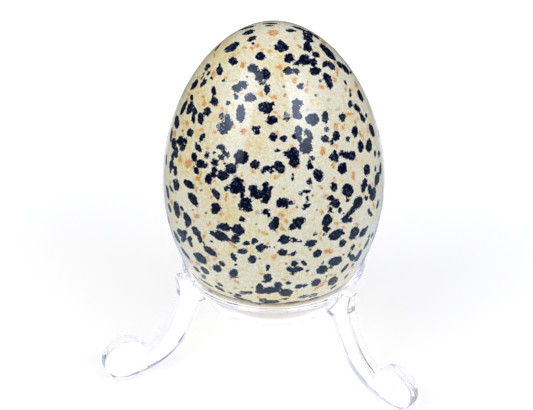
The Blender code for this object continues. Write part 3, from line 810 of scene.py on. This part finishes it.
def with_painted_rim_shadow(n, place, colour):
    """Paints the collar's contact shadow on the stone: a thin dark line where the rim meets it, and painted
    shade below it.
    """
    wave = n.math("MULTIPLY_ADD", n.noise(place, 0.3, 2.0), 0.3, -0.15)
    below = n.math("ADD", n.attribute("below_painted_rim_shadow"), wave)
    shade = n.math("MULTIPLY", n.ramp(below, -0.05, 0.1), n.ramp(below, PAINTED_RIM_SHADE_DEPTH, 0.4, 0.0, 0.6))
    colour = n.mix(shade, colour, PAINTED_RIM_SHADE)
    line = n.ramp(n.math("ABSOLUTE", below), 2 * PAINTED_RIM_SHADOW_HALF, PAINTED_RIM_SHADOW_HALF)
    line = n.math("MULTIPLY", line, n.ramp(n.noise(place, 0.35, 2.0), 0.38, 0.52, 0.45, 0.95))
    return n.mix(line, colour, MOTTLE)


def stone_material():
    """Polished cream feldspar with ragged black crystals and rusty flecks."""
    material = bpy.data.materials.new("spotted_stone_polished")
    n = Nodes(material)
    place = n.coordinates(MM)
    ground = with_flecks(n, place, cream_ground(n, place))
    colour = with_painted_rim_shadow(n, place, with_dark_spots(n, place, ground))
    # the polish: even gloss with faint grain
    roughness = n.ramp(n.noise(place, 1.2, 4.0), 0.3, 0.75, 0.035, 0.085)
    relief = n.math("MULTIPLY", n.noise(place, 2.2, 3.0), 0.3)
    n.shader(Base_Color=colour, Roughness=roughness, IOR=1.5, Normal=n.bump(relief, 0.06, 0.02 * MM))
    return material


def build_egg():
    """The polished egg, with its spots, on the CAD egg's place."""
    mesh = egg_mesh()
    points = np.empty(len(mesh.vertices) * 3)
    mesh.vertices.foreach_get("co", points)
    points = points.reshape(-1, 3)
    store_spots(mesh, points)
    # the stone's tone clouds, with painted sheen and painted shade among them
    store(mesh, "warmth_and_painted_light", cloud_and_painted_light_field(points))
    # the height below the painted contact shadow line, for the painted shade round the collar's rim
    store(mesh, "below_painted_rim_shadow", (PAINTED_RIM_SHADOW_Z - points[:, 2]) / MM)
    mesh.materials.append(stone_material())
    egg = linked("polished_egg", mesh)
    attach(egg, "root")
    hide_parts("egg")


# The collar, as in the CAD, with finer roundings
COLLAR_TOP_Z = 19.2 * MM
COLLAR_BOTTOM_Z = 13.65 * MM
COLLAR_INNER_TOP = 15.45 * MM
COLLAR_OUTER_TOP = 16.6 * MM
COLLAR_INNER_BOTTOM = 11.95 * MM
COLLAR_OUTER_BOTTOM = 13.0 * MM
COLLAR_RIM_ROUNDING = 0.58 * MM
COLLAR_RIM_SEGMENTS = 24
COLLAR_FOOT_ROUNDING = 0.25 * MM
COLLAR_FOOT_SEGMENTS = 6
COLLAR_LIP_ROUNDING = 0.12 * MM
COLLAR_LIP_SEGMENTS = 3
COLLAR_STEPS = 240
TURN_MERGE = 0.01 * MM
# Two fine raised lines round the rim, on its rounding's arc: middle and half width in the
# arc's points, height, and the direction in which each stands out, in degrees above level
RIM_RIDGES = [(12, 3, 0.13 * MM, 50.69), (21, 2, 0.08 * MM, 51.69)]

# The legs, as in the CAD, with finer curves
LEG_ANGLES = (90.0, 210.0, 330.0)
LEG_THICKNESS = 2.4 * MM
LEG_EDGE_ROUNDING = 0.4 * MM
LEG_EDGE_SEGMENTS = 4
LEG_TOP_Z = 19.1 * MM
SHOULDER_REACH = 18.1 * MM
SHOULDER_ROUNDING = 0.45 * MM
SHOULDER_SEGMENTS = 6
FOOT_REACH = 27.75 * MM
FOOT_RADIUS = 4.1 * MM
FOOT_FLAT_DEPTH = 0.05 * MM
ROOT_TOP = (15.6 * MM, LEG_TOP_Z)
ROOT_BOTTOM = (12.6 * MM, 13.75 * MM)
# The leg's outer edge from below the shoulder down to the foot, as reach and height
OUTER_EDGE = [
    (17.75 * MM, 17.0 * MM), (17.75 * MM, 15.2 * MM), (18.25 * MM, 13.2 * MM),
    (19.15 * MM, 10.8 * MM), (20.45 * MM, 8.3 * MM), (22.0 * MM, 6.3 * MM),
]
# The leg's underside from the foot back up to the collar
UNDERSIDE = [
    (24.0 * MM, 1.0 * MM), (21.5 * MM, 2.1 * MM), (19.15 * MM, 3.75 * MM),
    (17.1 * MM, 6.15 * MM), (15.5 * MM, 9.3 * MM), (14.6 * MM, 11.6 * MM),
]
WEB_CORNER = (14.0 * MM, 13.15 * MM)
EDGE_POINTS_PER_SPAN = 8
# Directions from the foot's centre, in degrees: where its rim meets the leg's outer edge
# and its underside, and the step between points round the rim
CREASE_ANGLE = 167.0
UNDERSIDE_ANGLE = -115.0
FOOT_ARC_STEP = 4.0
# The shallow moulding mark in the middle of each foot's two faces
DIMPLE_RADIUS = 0.65 * MM
DIMPLE_DEPTH = 0.12 * MM
DIMPLE_SUBDIVISIONS = 5
# Bends sharper than this, in degrees, are shaded as edges
SHARP_BEND = 38.0
# The colour of the clear plastic
CLEAR = (0.965, 0.965, 0.985)


def rounded_corner(before, corner, after, radius, segments):
    """Returns points on the arc that rounds one corner of a flat outline."""
    before, corner, after = Vector(before), Vector(corner), Vector(after)
    to_before = (before - corner).normalized()
    to_after = (after - corner).normalized()
    half = to_before.angle(to_after) / 2
    setback = radius / math.tan(half)
    centre = corner + (to_before + to_after).normalized() * (radius / math.sin(half))
    start = corner + to_before * setback - centre
    turn = math.pi - 2 * half
    sign = 1 if to_before.cross(to_after) < 0 else -1
    points = []
    for i in range(segments + 1):
        spoke = start.copy()
        spoke.rotate(Matrix.Rotation(sign * turn * i / segments, 2))
        points.append(tuple(centre + spoke))
    return points


def collar_profile():
    """Returns the collar's section, down its outer side and back up its inner side."""
    corners = [
        ((COLLAR_OUTER_TOP, COLLAR_TOP_Z), COLLAR_RIM_ROUNDING, COLLAR_RIM_SEGMENTS),
        ((COLLAR_OUTER_BOTTOM, COLLAR_BOTTOM_Z), COLLAR_FOOT_ROUNDING, COLLAR_FOOT_SEGMENTS),
        ((COLLAR_INNER_BOTTOM, COLLAR_BOTTOM_Z), COLLAR_FOOT_ROUNDING, COLLAR_FOOT_SEGMENTS),
        ((COLLAR_INNER_TOP, COLLAR_TOP_Z), COLLAR_LIP_ROUNDING, COLLAR_LIP_SEGMENTS),
    ]
    section = []
    for i, (corner, radius, segments) in enumerate(corners):
        before = corners[i - 1][0]
        after = corners[(i + 1) % len(corners)][0]
        section += rounded_corner(before, corner, after, radius, segments)
    for middle, half, height, direction in RIM_RIDGES:
        rise = math.radians(direction)
        outward = Vector((math.cos(rise), math.sin(rise)))
        for k in range(middle - half + 1, middle + half):
            share = 1 - abs(k - middle) / half
            section[k] = tuple(Vector(section[k]) + outward * height * share)
    return section


def smooth_through(points, per_span):
    """Returns points on a smooth curve through the given ones, both ends included."""
    curve = []
    last = len(points) - 1
    for i in range(last):
        p0 = Vector(points[max(i - 1, 0)])
        p1 = Vector(points[i])
        p2 = Vector(points[i + 1])
        p3 = Vector(points[min(i + 2, last)])
        for k in range(per_span):
            t = k / per_span
            curve.append(tuple(
                0.5 * (2 * p1 + (p2 - p0) * t + (2 * p0 - 5 * p1 + 4 * p2 - p3) * t ** 2
                       + (3 * p1 - p0 - 3 * p2 + p3) * t ** 3)
            ))
    curve.append(tuple(points[-1]))
    return curve


def foot_arc():
    """Returns the round foot's rim from the crease with the leg, over the top and under."""
    centre_z = FOOT_RADIUS - FOOT_FLAT_DEPTH
    flat_angle = math.degrees(math.asin(centre_z / FOOT_RADIUS))
    over = round(CREASE_ANGLE / FOOT_ARC_STEP)
    angles = [CREASE_ANGLE * (1 - i / over) for i in range(over + 1)]
    under = round(flat_angle / FOOT_ARC_STEP)
    angles += [-flat_angle * (i + 1) / under for i in range(under)]
    angles += [flat_angle - 180.0, UNDERSIDE_ANGLE]
    points = []
    for angle in angles:
        a = math.radians(angle)
        points.append((FOOT_REACH + FOOT_RADIUS * math.cos(a), centre_z + FOOT_RADIUS * math.sin(a)))
    return points


def leg_outline():
    """Returns the leg's closed outline in its own upright plane."""
    foot = foot_arc()
    corner = (SHOULDER_REACH, LEG_TOP_Z)
    below = (SHOULDER_REACH, 0.0)
    shoulder = rounded_corner(ROOT_TOP, corner, below, SHOULDER_ROUNDING, SHOULDER_SEGMENTS)
    outer = smooth_through([shoulder[-1]] + OUTER_EDGE + [foot[0]], EDGE_POINTS_PER_SPAN)
    under = smooth_through([foot[-1]] + UNDERSIDE + [WEB_CORNER], EDGE_POINTS_PER_SPAN)
    return [ROOT_TOP] + shoulder[:-1] + outer + foot[1:] + under[1:] + [ROOT_BOTTOM]


def leg_plate():
    """Returns a leg's plate as a mesh, lying flat, with rounded edges."""
    work = bmesh.new()
    outline = leg_outline()
    half = LEG_THICKNESS / 2
    low, high = ([work.verts.new((x, y, z)) for x, y in outline] for z in (-half, half))
    work.faces.new(reversed(low))
    work.faces.new(high)
    for i in range(len(outline)):
        work.faces.new((low[i - 1], low[i], high[i], high[i - 1]))
    rims = [e for e in work.edges if e.verts[0].co.z == e.verts[1].co.z]
    bmesh.ops.recalc_face_normals(work, faces=work.faces)
    bmesh.ops.bevel(work, geom=rims, offset=LEG_EDGE_ROUNDING, offset_type="OFFSET",
                    segments=LEG_EDGE_SEGMENTS, profile=0.5, affect="EDGES", clamp_overlap=False)
    mesh = bpy.data.meshes.new("leg_plate")
    work.to_mesh(mesh)
    work.free()
    return mesh


def collar_ring():
    """Returns the collar as an object whose modifiers turn its section about the axis."""
    profile = collar_profile()
    count = len(profile)
    mesh = bpy.data.meshes.new("collar")
    edges = [(i, (i + 1) % count) for i in range(count)]
    mesh.from_pydata([(radius, 0.0, height) for radius, height in profile], edges, [])
    collar = linked("collar", mesh)
    collar.location = AXIS
    screw = collar.modifiers.new("turn", "SCREW")
    screw.steps = COLLAR_STEPS
    screw.render_steps = COLLAR_STEPS
    screw.use_merge_vertices = True
    screw.merge_threshold = TURN_MERGE
    return collar


def stood_up(angle):
    """Returns the place of something turned by that angle about the egg's axis."""
    return Matrix.Translation(AXIS) @ Matrix.Rotation(math.radians(angle), 4, "Z")


def dimple_ball():
    """Returns the ball that presses a foot's shallow round mark, and its radius."""
    radius = (DIMPLE_RADIUS ** 2 + DIMPLE_DEPTH ** 2) / (2 * DIMPLE_DEPTH)
    mesh = bpy.data.meshes.new("dimple")
    work = bmesh.new()
    bmesh.ops.create_icosphere(work, subdivisions=DIMPLE_SUBDIVISIONS, radius=radius)
    work.to_mesh(mesh)
    work.free()
    return mesh, radius


def joined(base, tool, operation):
    """Adds the tool to the base's solid, or cuts it out, and returns the tool."""
    step = base.modifiers.new("joined", "BOOLEAN")
    step.operation = operation
    step.solver = "EXACT"
    step.object = tool
    return tool


def stand_mesh():
    """Returns the stand's mesh: the collar with the legs joined on and the marks cut in."""
    collar = collar_ring()
    tools = []
    plate = leg_plate()
    for angle in LEG_ANGLES:
        leg = linked("leg", plate)
        leg.matrix_world = stood_up(angle) @ Matrix.Rotation(math.radians(90), 4, "X")
        tools.append(joined(collar, leg, "UNION"))
    ball_mesh, ball_radius = dimple_ball()
    lift = LEG_THICKNESS / 2 + ball_radius - DIMPLE_DEPTH
    for angle in LEG_ANGLES:
        for side in (1, -1):
            ball = linked("dimple", ball_mesh)
            foot = Matrix.Translation((FOOT_REACH, side * lift, FOOT_RADIUS - FOOT_FLAT_DEPTH))
            ball.matrix_world = stood_up(angle) @ foot
            tools.append(joined(collar, ball, "DIFFERENCE"))
    bpy.context.view_layer.update()
    evaluated = collar.evaluated_get(bpy.context.evaluated_depsgraph_get())
    mesh = bpy.data.meshes.new_from_object(evaluated)
    mesh.transform(Matrix.Translation(AXIS))
    for tool in tools + [collar]:
        bpy.data.objects.remove(tool)
    return mesh


def clear_material():
    """Clear moulded plastic with faint flow waves and fine wear."""
    material = bpy.data.materials.new("clear_plastic_moulded")
    n = Nodes(material)
    place = n.coordinates(MM)
    roughness = n.ramp(n.noise(place, 0.9, 5.0, 0.6), 0.35, 0.8, 0.0, 0.045)
    waves = n.bump(n.noise(place, 0.22, 2.0), 0.25, 0.12 * MM)
    n.shader(Base_Color=CLEAR, Transmission_Weight=1.0, IOR=1.49, Roughness=roughness, Normal=waves)
    return material


def build_stand():
    """The clear stand, one moulded piece: collar, three legs and their round feet."""
    mesh = stand_mesh()
    mesh.name = "clear_stand"
    mesh.shade_smooth()
    mesh.set_sharp_from_angle(angle=math.radians(SHARP_BEND))
    mesh.materials.clear()
    mesh.materials.append(clear_material())
    stand = linked("clear_stand", mesh)
    even = stand.modifiers.new("shading", "WEIGHTED_NORMAL")
    even.keep_sharp = True
    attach(stand, "root")
    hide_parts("stand")


# The floor, just under the feet's flats, and its own soft glow
FLOOR_SIZE = 8.0
FLOOR_DROP = 0.02 * MM
FLOOR_COLOUR = (0.85, 0.85, 0.85)
FLOOR_GLOW = 0.32
# The lights: where each soft box's light stands, in degrees to the right of the camera and
# above the horizon, how large it is, and its power
SOFT_LIGHTS = [("left_light", -52, 38, 0.55, 1.7), ("right_light", 46, 36, 0.5, 1.6)]
LIGHT_DISTANCE = 0.75
# Where each box's front shows from the egg, in the same degrees, where it is brightest, and
# how bright it is there
SOFT_BOXES = [
    ("left_box", (-84.0, -33.0), (3.0, 64.0), (-50.0, 36.0), 4.4),
    ("right_box", (27.0, 76.0), (8.0, 66.0), (40.0, 38.0), 4.6),
]
BOX_DISTANCE = 0.8
BOX_COLOUR = (0.86, 0.97, 1.3)
BOX_STEPS = 24
GLOW_WIDTH = 24.0
# The lit table, as each kind of ray meets it: its colour close to the object and away from
# it, how bright it would be at the egg's axis, its most and its least, and how bright it is
# right under the egg
TABLES = [
    ("table_shine", "glossy", (1.0, 0.98, 1.08), (0.76, 1.0, 1.4), 1.35, 2.0, 0.0, 1.6),
    ("table_light", "diffuse", (1.0, 1.0, 1.0), (1.0, 1.0, 1.0), 2.4, 1.2, 0.0, 2.2),
    ("table_through", "transmission", (1.0, 0.99, 1.0), (1.0, 0.99, 1.0), 3.6, 1.08, 0.95, 1.08),
]
TABLE_SIZE = 12.0
TABLE_DROP = 0.03 * MM
# How fast the table darkens outwards, and from where to where its colour and its light under
# the egg change
TABLE_FALL = 45 * MM
TABLE_CLOSE = (20 * MM, 32 * MM)
TABLE_UNDER = (12 * MM, 17 * MM)
# The white table behind the object, to the left and right, as the polish shows it in a thin
# band along the egg's outline: its shares of the way to the side and backwards, where it
# ends, its colour and its level
RIM_SIDES = (0.04, 0.16)
RIM_BEHIND = (-0.7, -0.86)
RIM_FAR = (95 * MM, 130 * MM)
RIM_COLOUR = (0.92, 0.94, 1.1)
RIM_LEVEL = 0.95
# How often light may turn inside the clear plastic
LIGHT_TURNS = 24
# The room above, as the clear plastic bends it into view: pale grey-blue, darker overhead,
# brighter at the back and on the right, and dark in front
ROOM_RADIUS = 3.0
ROOM_SEGMENTS = 48
ROOM_RINGS = 24
ROOM_COLOUR = (0.80, 0.81, 0.94)
ROOM_LOW = 0.98
ROOM_TOP = 0.48
ROOM_BACK = 0.9
ROOM_RIGHT = 0.45
ROOM_FRONT = 0.3
# The light that the studio sends from the horizon and from overhead
WORLD_LOW = 1.2
WORLD_TOP = 0.38
# How much more it sends low down behind to the left and to the right, and the share that is
# left of it high up behind
WORLD_LEFT = 1.4
WORLD_RIGHT = 2.3
WORLD_RIGHT_COLOUR = (0.94, 0.97, 1.12)
WORLD_BEHIND = 0.6


def seen_from_egg(side, rise, distance):
    """Returns the point at that direction from the egg's middle."""
    around = math.radians(CAMERA_AZIMUTH + side)
    up = math.radians(rise)
    level = math.cos(up)
    return EGG_MIDDLE + Vector((math.cos(around) * level, math.sin(around) * level, math.sin(up))) * distance


def only_seen_by(card, kind):
    """Lets a stage card show to one kind of ray alone: glossy, diffuse or transmission."""
    card.visible_camera = False
    card.visible_glossy = kind == "glossy"
    card.visible_diffuse = kind == "diffuse"
    card.visible_transmission = kind == "transmission"
    card.visible_shadow = False


def add_floor():
    """A plain pale floor, which gives back a soft light of its own."""
    bpy.ops.mesh.primitive_plane_add(size=FLOOR_SIZE, location=(0.0, 0.0, -FLOOR_DROP))
    floor = bpy.context.object
    floor.name = "floor"
    material = bpy.data.materials.new("pale_floor")
    n = Nodes(material)
    n.shader(Base_Color=FLOOR_COLOUR, Roughness=1.0, Specular_IOR_Level=0.0)
    n.shader(Emission_Color=(1.0, 1.0, 1.0), Emission_Strength=FLOOR_GLOW)
    floor.data.materials.append(material)
    floor.visible_glossy = False
    floor.visible_diffuse = False
    floor.visible_transmission = False


def glowing(name):
    """Returns a plain glowing material, its nodes and its emission's sockets."""
    material = bpy.data.materials.new(name)
    n = Nodes(material)
    n.tree.nodes.clear()
    glow = n.add("Emission")
    n.put(n.add("OutputMaterial").inputs["Surface"], glow.outputs[0])
    return material, n, glow.inputs


def add_soft_box(name, sides, rises, middle, bright):
    """A soft box's bright front, as the polish shows it, fading from its middle outwards."""
    points, glow_at = [], []
    for i in range(BOX_STEPS + 1):
        rise = rises[0] + (rises[1] - rises[0]) * i / BOX_STEPS
        for k in range(BOX_STEPS + 1):
            side = sides[0] + (sides[1] - sides[0]) * k / BOX_STEPS
            points.append(tuple(seen_from_egg(side, rise, BOX_DISTANCE)))
            off = math.hypot((side - middle[0]) * math.cos(math.radians(rise)), rise - middle[1])
            glow_at.append(math.exp(-(off / GLOW_WIDTH) ** 2))
    row = BOX_STEPS + 1
    faces = [(i * row + k, i * row + k + 1, (i + 1) * row + k + 1, (i + 1) * row + k)
             for i in range(BOX_STEPS) for k in range(BOX_STEPS)]
    mesh = bpy.data.meshes.new(name)
    mesh.from_pydata(points, [], faces)
    store(mesh, "glow", glow_at)
    material, n, glow = glowing(name)
    n.put(glow["Color"], BOX_COLOUR)
    n.put(glow["Strength"], n.math("MULTIPLY", n.attribute("glow"), bright))
    mesh.materials.append(material)
    only_seen_by(linked(name, mesh), "glossy")


def add_table(name, kind, close_colour, colour, bright, cap, least, under):
    """The lit table round the object, brightest close to it, for one kind of ray."""
    bpy.ops.mesh.primitive_plane_add(size=TABLE_SIZE, location=(AXIS_X, AXIS_Y, -TABLE_DROP))
    table = bpy.context.object
    table.name = name
    material, n, glow = glowing(name)
    place = n.coordinates(1.0)
    length = n.add("VectorMath", operation="LENGTH")
    n.put(length.inputs[0], place)
    far = length.outputs["Value"]
    faded = n.math("EXPONENT", n.math("MULTIPLY", far, -1 / TABLE_FALL))
    level = n.math("MINIMUM", n.math("MULTIPLY", faded, bright), cap)
    level = n.math("MAXIMUM", level, least)
    level = n.math("MAXIMUM", level, n.ramp(far, *TABLE_UNDER, under, 0.0))
    tint = n.mix(n.ramp(far, *TABLE_CLOSE), close_colour, colour)
    if kind == "glossy":
        front, right, _ = n.front_right_up(place)
        to_side = n.ramp(n.math("DIVIDE", n.math("ABSOLUTE", right), far), *RIM_SIDES)
        behind = n.ramp(n.math("DIVIDE", front, far), *RIM_BEHIND)
        rim = n.math("MULTIPLY", n.math("MULTIPLY", to_side, behind), n.ramp(far, *RIM_FAR, 1.0, 0.0))
        tint = n.mix(rim, tint, RIM_COLOUR)
        level = n.math("MAXIMUM", level, n.math("MULTIPLY", rim, RIM_LEVEL))
    n.put(glow["Strength"], level)
    n.put(glow["Color"], tint)
    table.data.materials.append(material)
    only_seen_by(table, kind)


def add_room():
    """The room, which the clear plastic alone shows."""
    bpy.ops.mesh.primitive_uv_sphere_add(segments=ROOM_SEGMENTS, ring_count=ROOM_RINGS,
                                         radius=ROOM_RADIUS, location=(0.0, 0.0, 0.0))
    room = bpy.context.object
    room.name = "pale_room"
    material, n, glow = glowing("pale_room")
    front, right, up = n.front_right_up(n.coordinates(ROOM_RADIUS))
    level = n.ramp(up, 0.0, 0.5, ROOM_LOW, ROOM_TOP)
    level = n.math("ADD", level, n.ramp(front, -0.55, -0.75, 0.0, ROOM_BACK))
    level = n.math("ADD", level, n.ramp(right, -0.1, 0.3, 0.0, ROOM_RIGHT))
    n.put(glow["Strength"], n.math("MULTIPLY", level, n.ramp(front, 0.4, 0.65, 1.0, ROOM_FRONT)))
    n.put(glow["Color"], ROOM_COLOUR)
    room.data.materials.append(material)
    only_seen_by(room, "transmission")


def add_soft_lights():
    """The soft boxes' own lights, in front to the left and right."""
    for name, side, rise, size, power in SOFT_LIGHTS:
        data = bpy.data.lights.new(name, "AREA")
        data.shape = "SQUARE"
        data.size = size
        data.energy = power
        lamp = linked(name, data)
        lamp.location = seen_from_egg(side, rise, LIGHT_DISTANCE)
        lamp.rotation_euler = (EGG_MIDDLE - lamp.location).to_track_quat("-Z", "Y").to_euler()
        lamp.visible_glossy = False


def add_world():
    """The even glow all round, which lights but isn't mirrored."""
    world = bpy.data.worlds.new("studio")
    bpy.context.scene.world = world
    n = Nodes(world)
    front, right, up = n.front_right_up(n.add("TexCoord").outputs["Generated"])
    level = n.math("MULTIPLY_ADD", up, WORLD_TOP - WORLD_LOW, WORLD_LOW)
    high = n.ramp(up, 0.0, 0.45)
    dim = n.math("MULTIPLY", high, n.ramp(front, 0.0, -0.5, 0.0, WORLD_BEHIND - 1))
    level = n.math("MULTIPLY_ADD", level, dim, level)
    behind = n.ramp(front, 0.3, -0.2)
    low = n.ramp(up, 0.05, 0.45, 1.0, 0.0)
    to_right = n.ramp(right, 0.3, 0.8, 0.0, WORLD_RIGHT)
    to_left = n.ramp(right, -0.3, -0.8, 0.0, WORLD_LEFT)
    sides = n.math("MULTIPLY", behind, n.math("ADD", to_left, to_right))
    back = n.tree.nodes["Background"].inputs
    n.put(back["Strength"], n.math("MULTIPLY_ADD", sides, low, level))
    n.put(back["Color"], n.mix(n.ramp(right, 0.2, 0.8), (1.0, 1.0, 1.0), WORLD_RIGHT_COLOUR))
    world.cycles_visibility.glossy = False


def add_stage():
    """The floor, the lights, and what the polish and the clear plastic show of the studio."""
    add_floor()
    add_soft_lights()
    add_world()
    for box in SOFT_BOXES:
        add_soft_box(*box)
    for table in TABLES:
        add_table(*table)
    add_room()


def set_light_paths():
    """Lets light turn often enough inside the clear plastic, and shows colours plainly."""
    scene = bpy.context.scene
    scene.view_settings.view_transform = "Standard"
    scene.cycles.max_bounces = LIGHT_TURNS
    scene.cycles.glossy_bounces = LIGHT_TURNS
    scene.cycles.transmission_bounces = LIGHT_TURNS


set_light_paths()
add_camera()
build_egg()
build_stand()
add_stage()
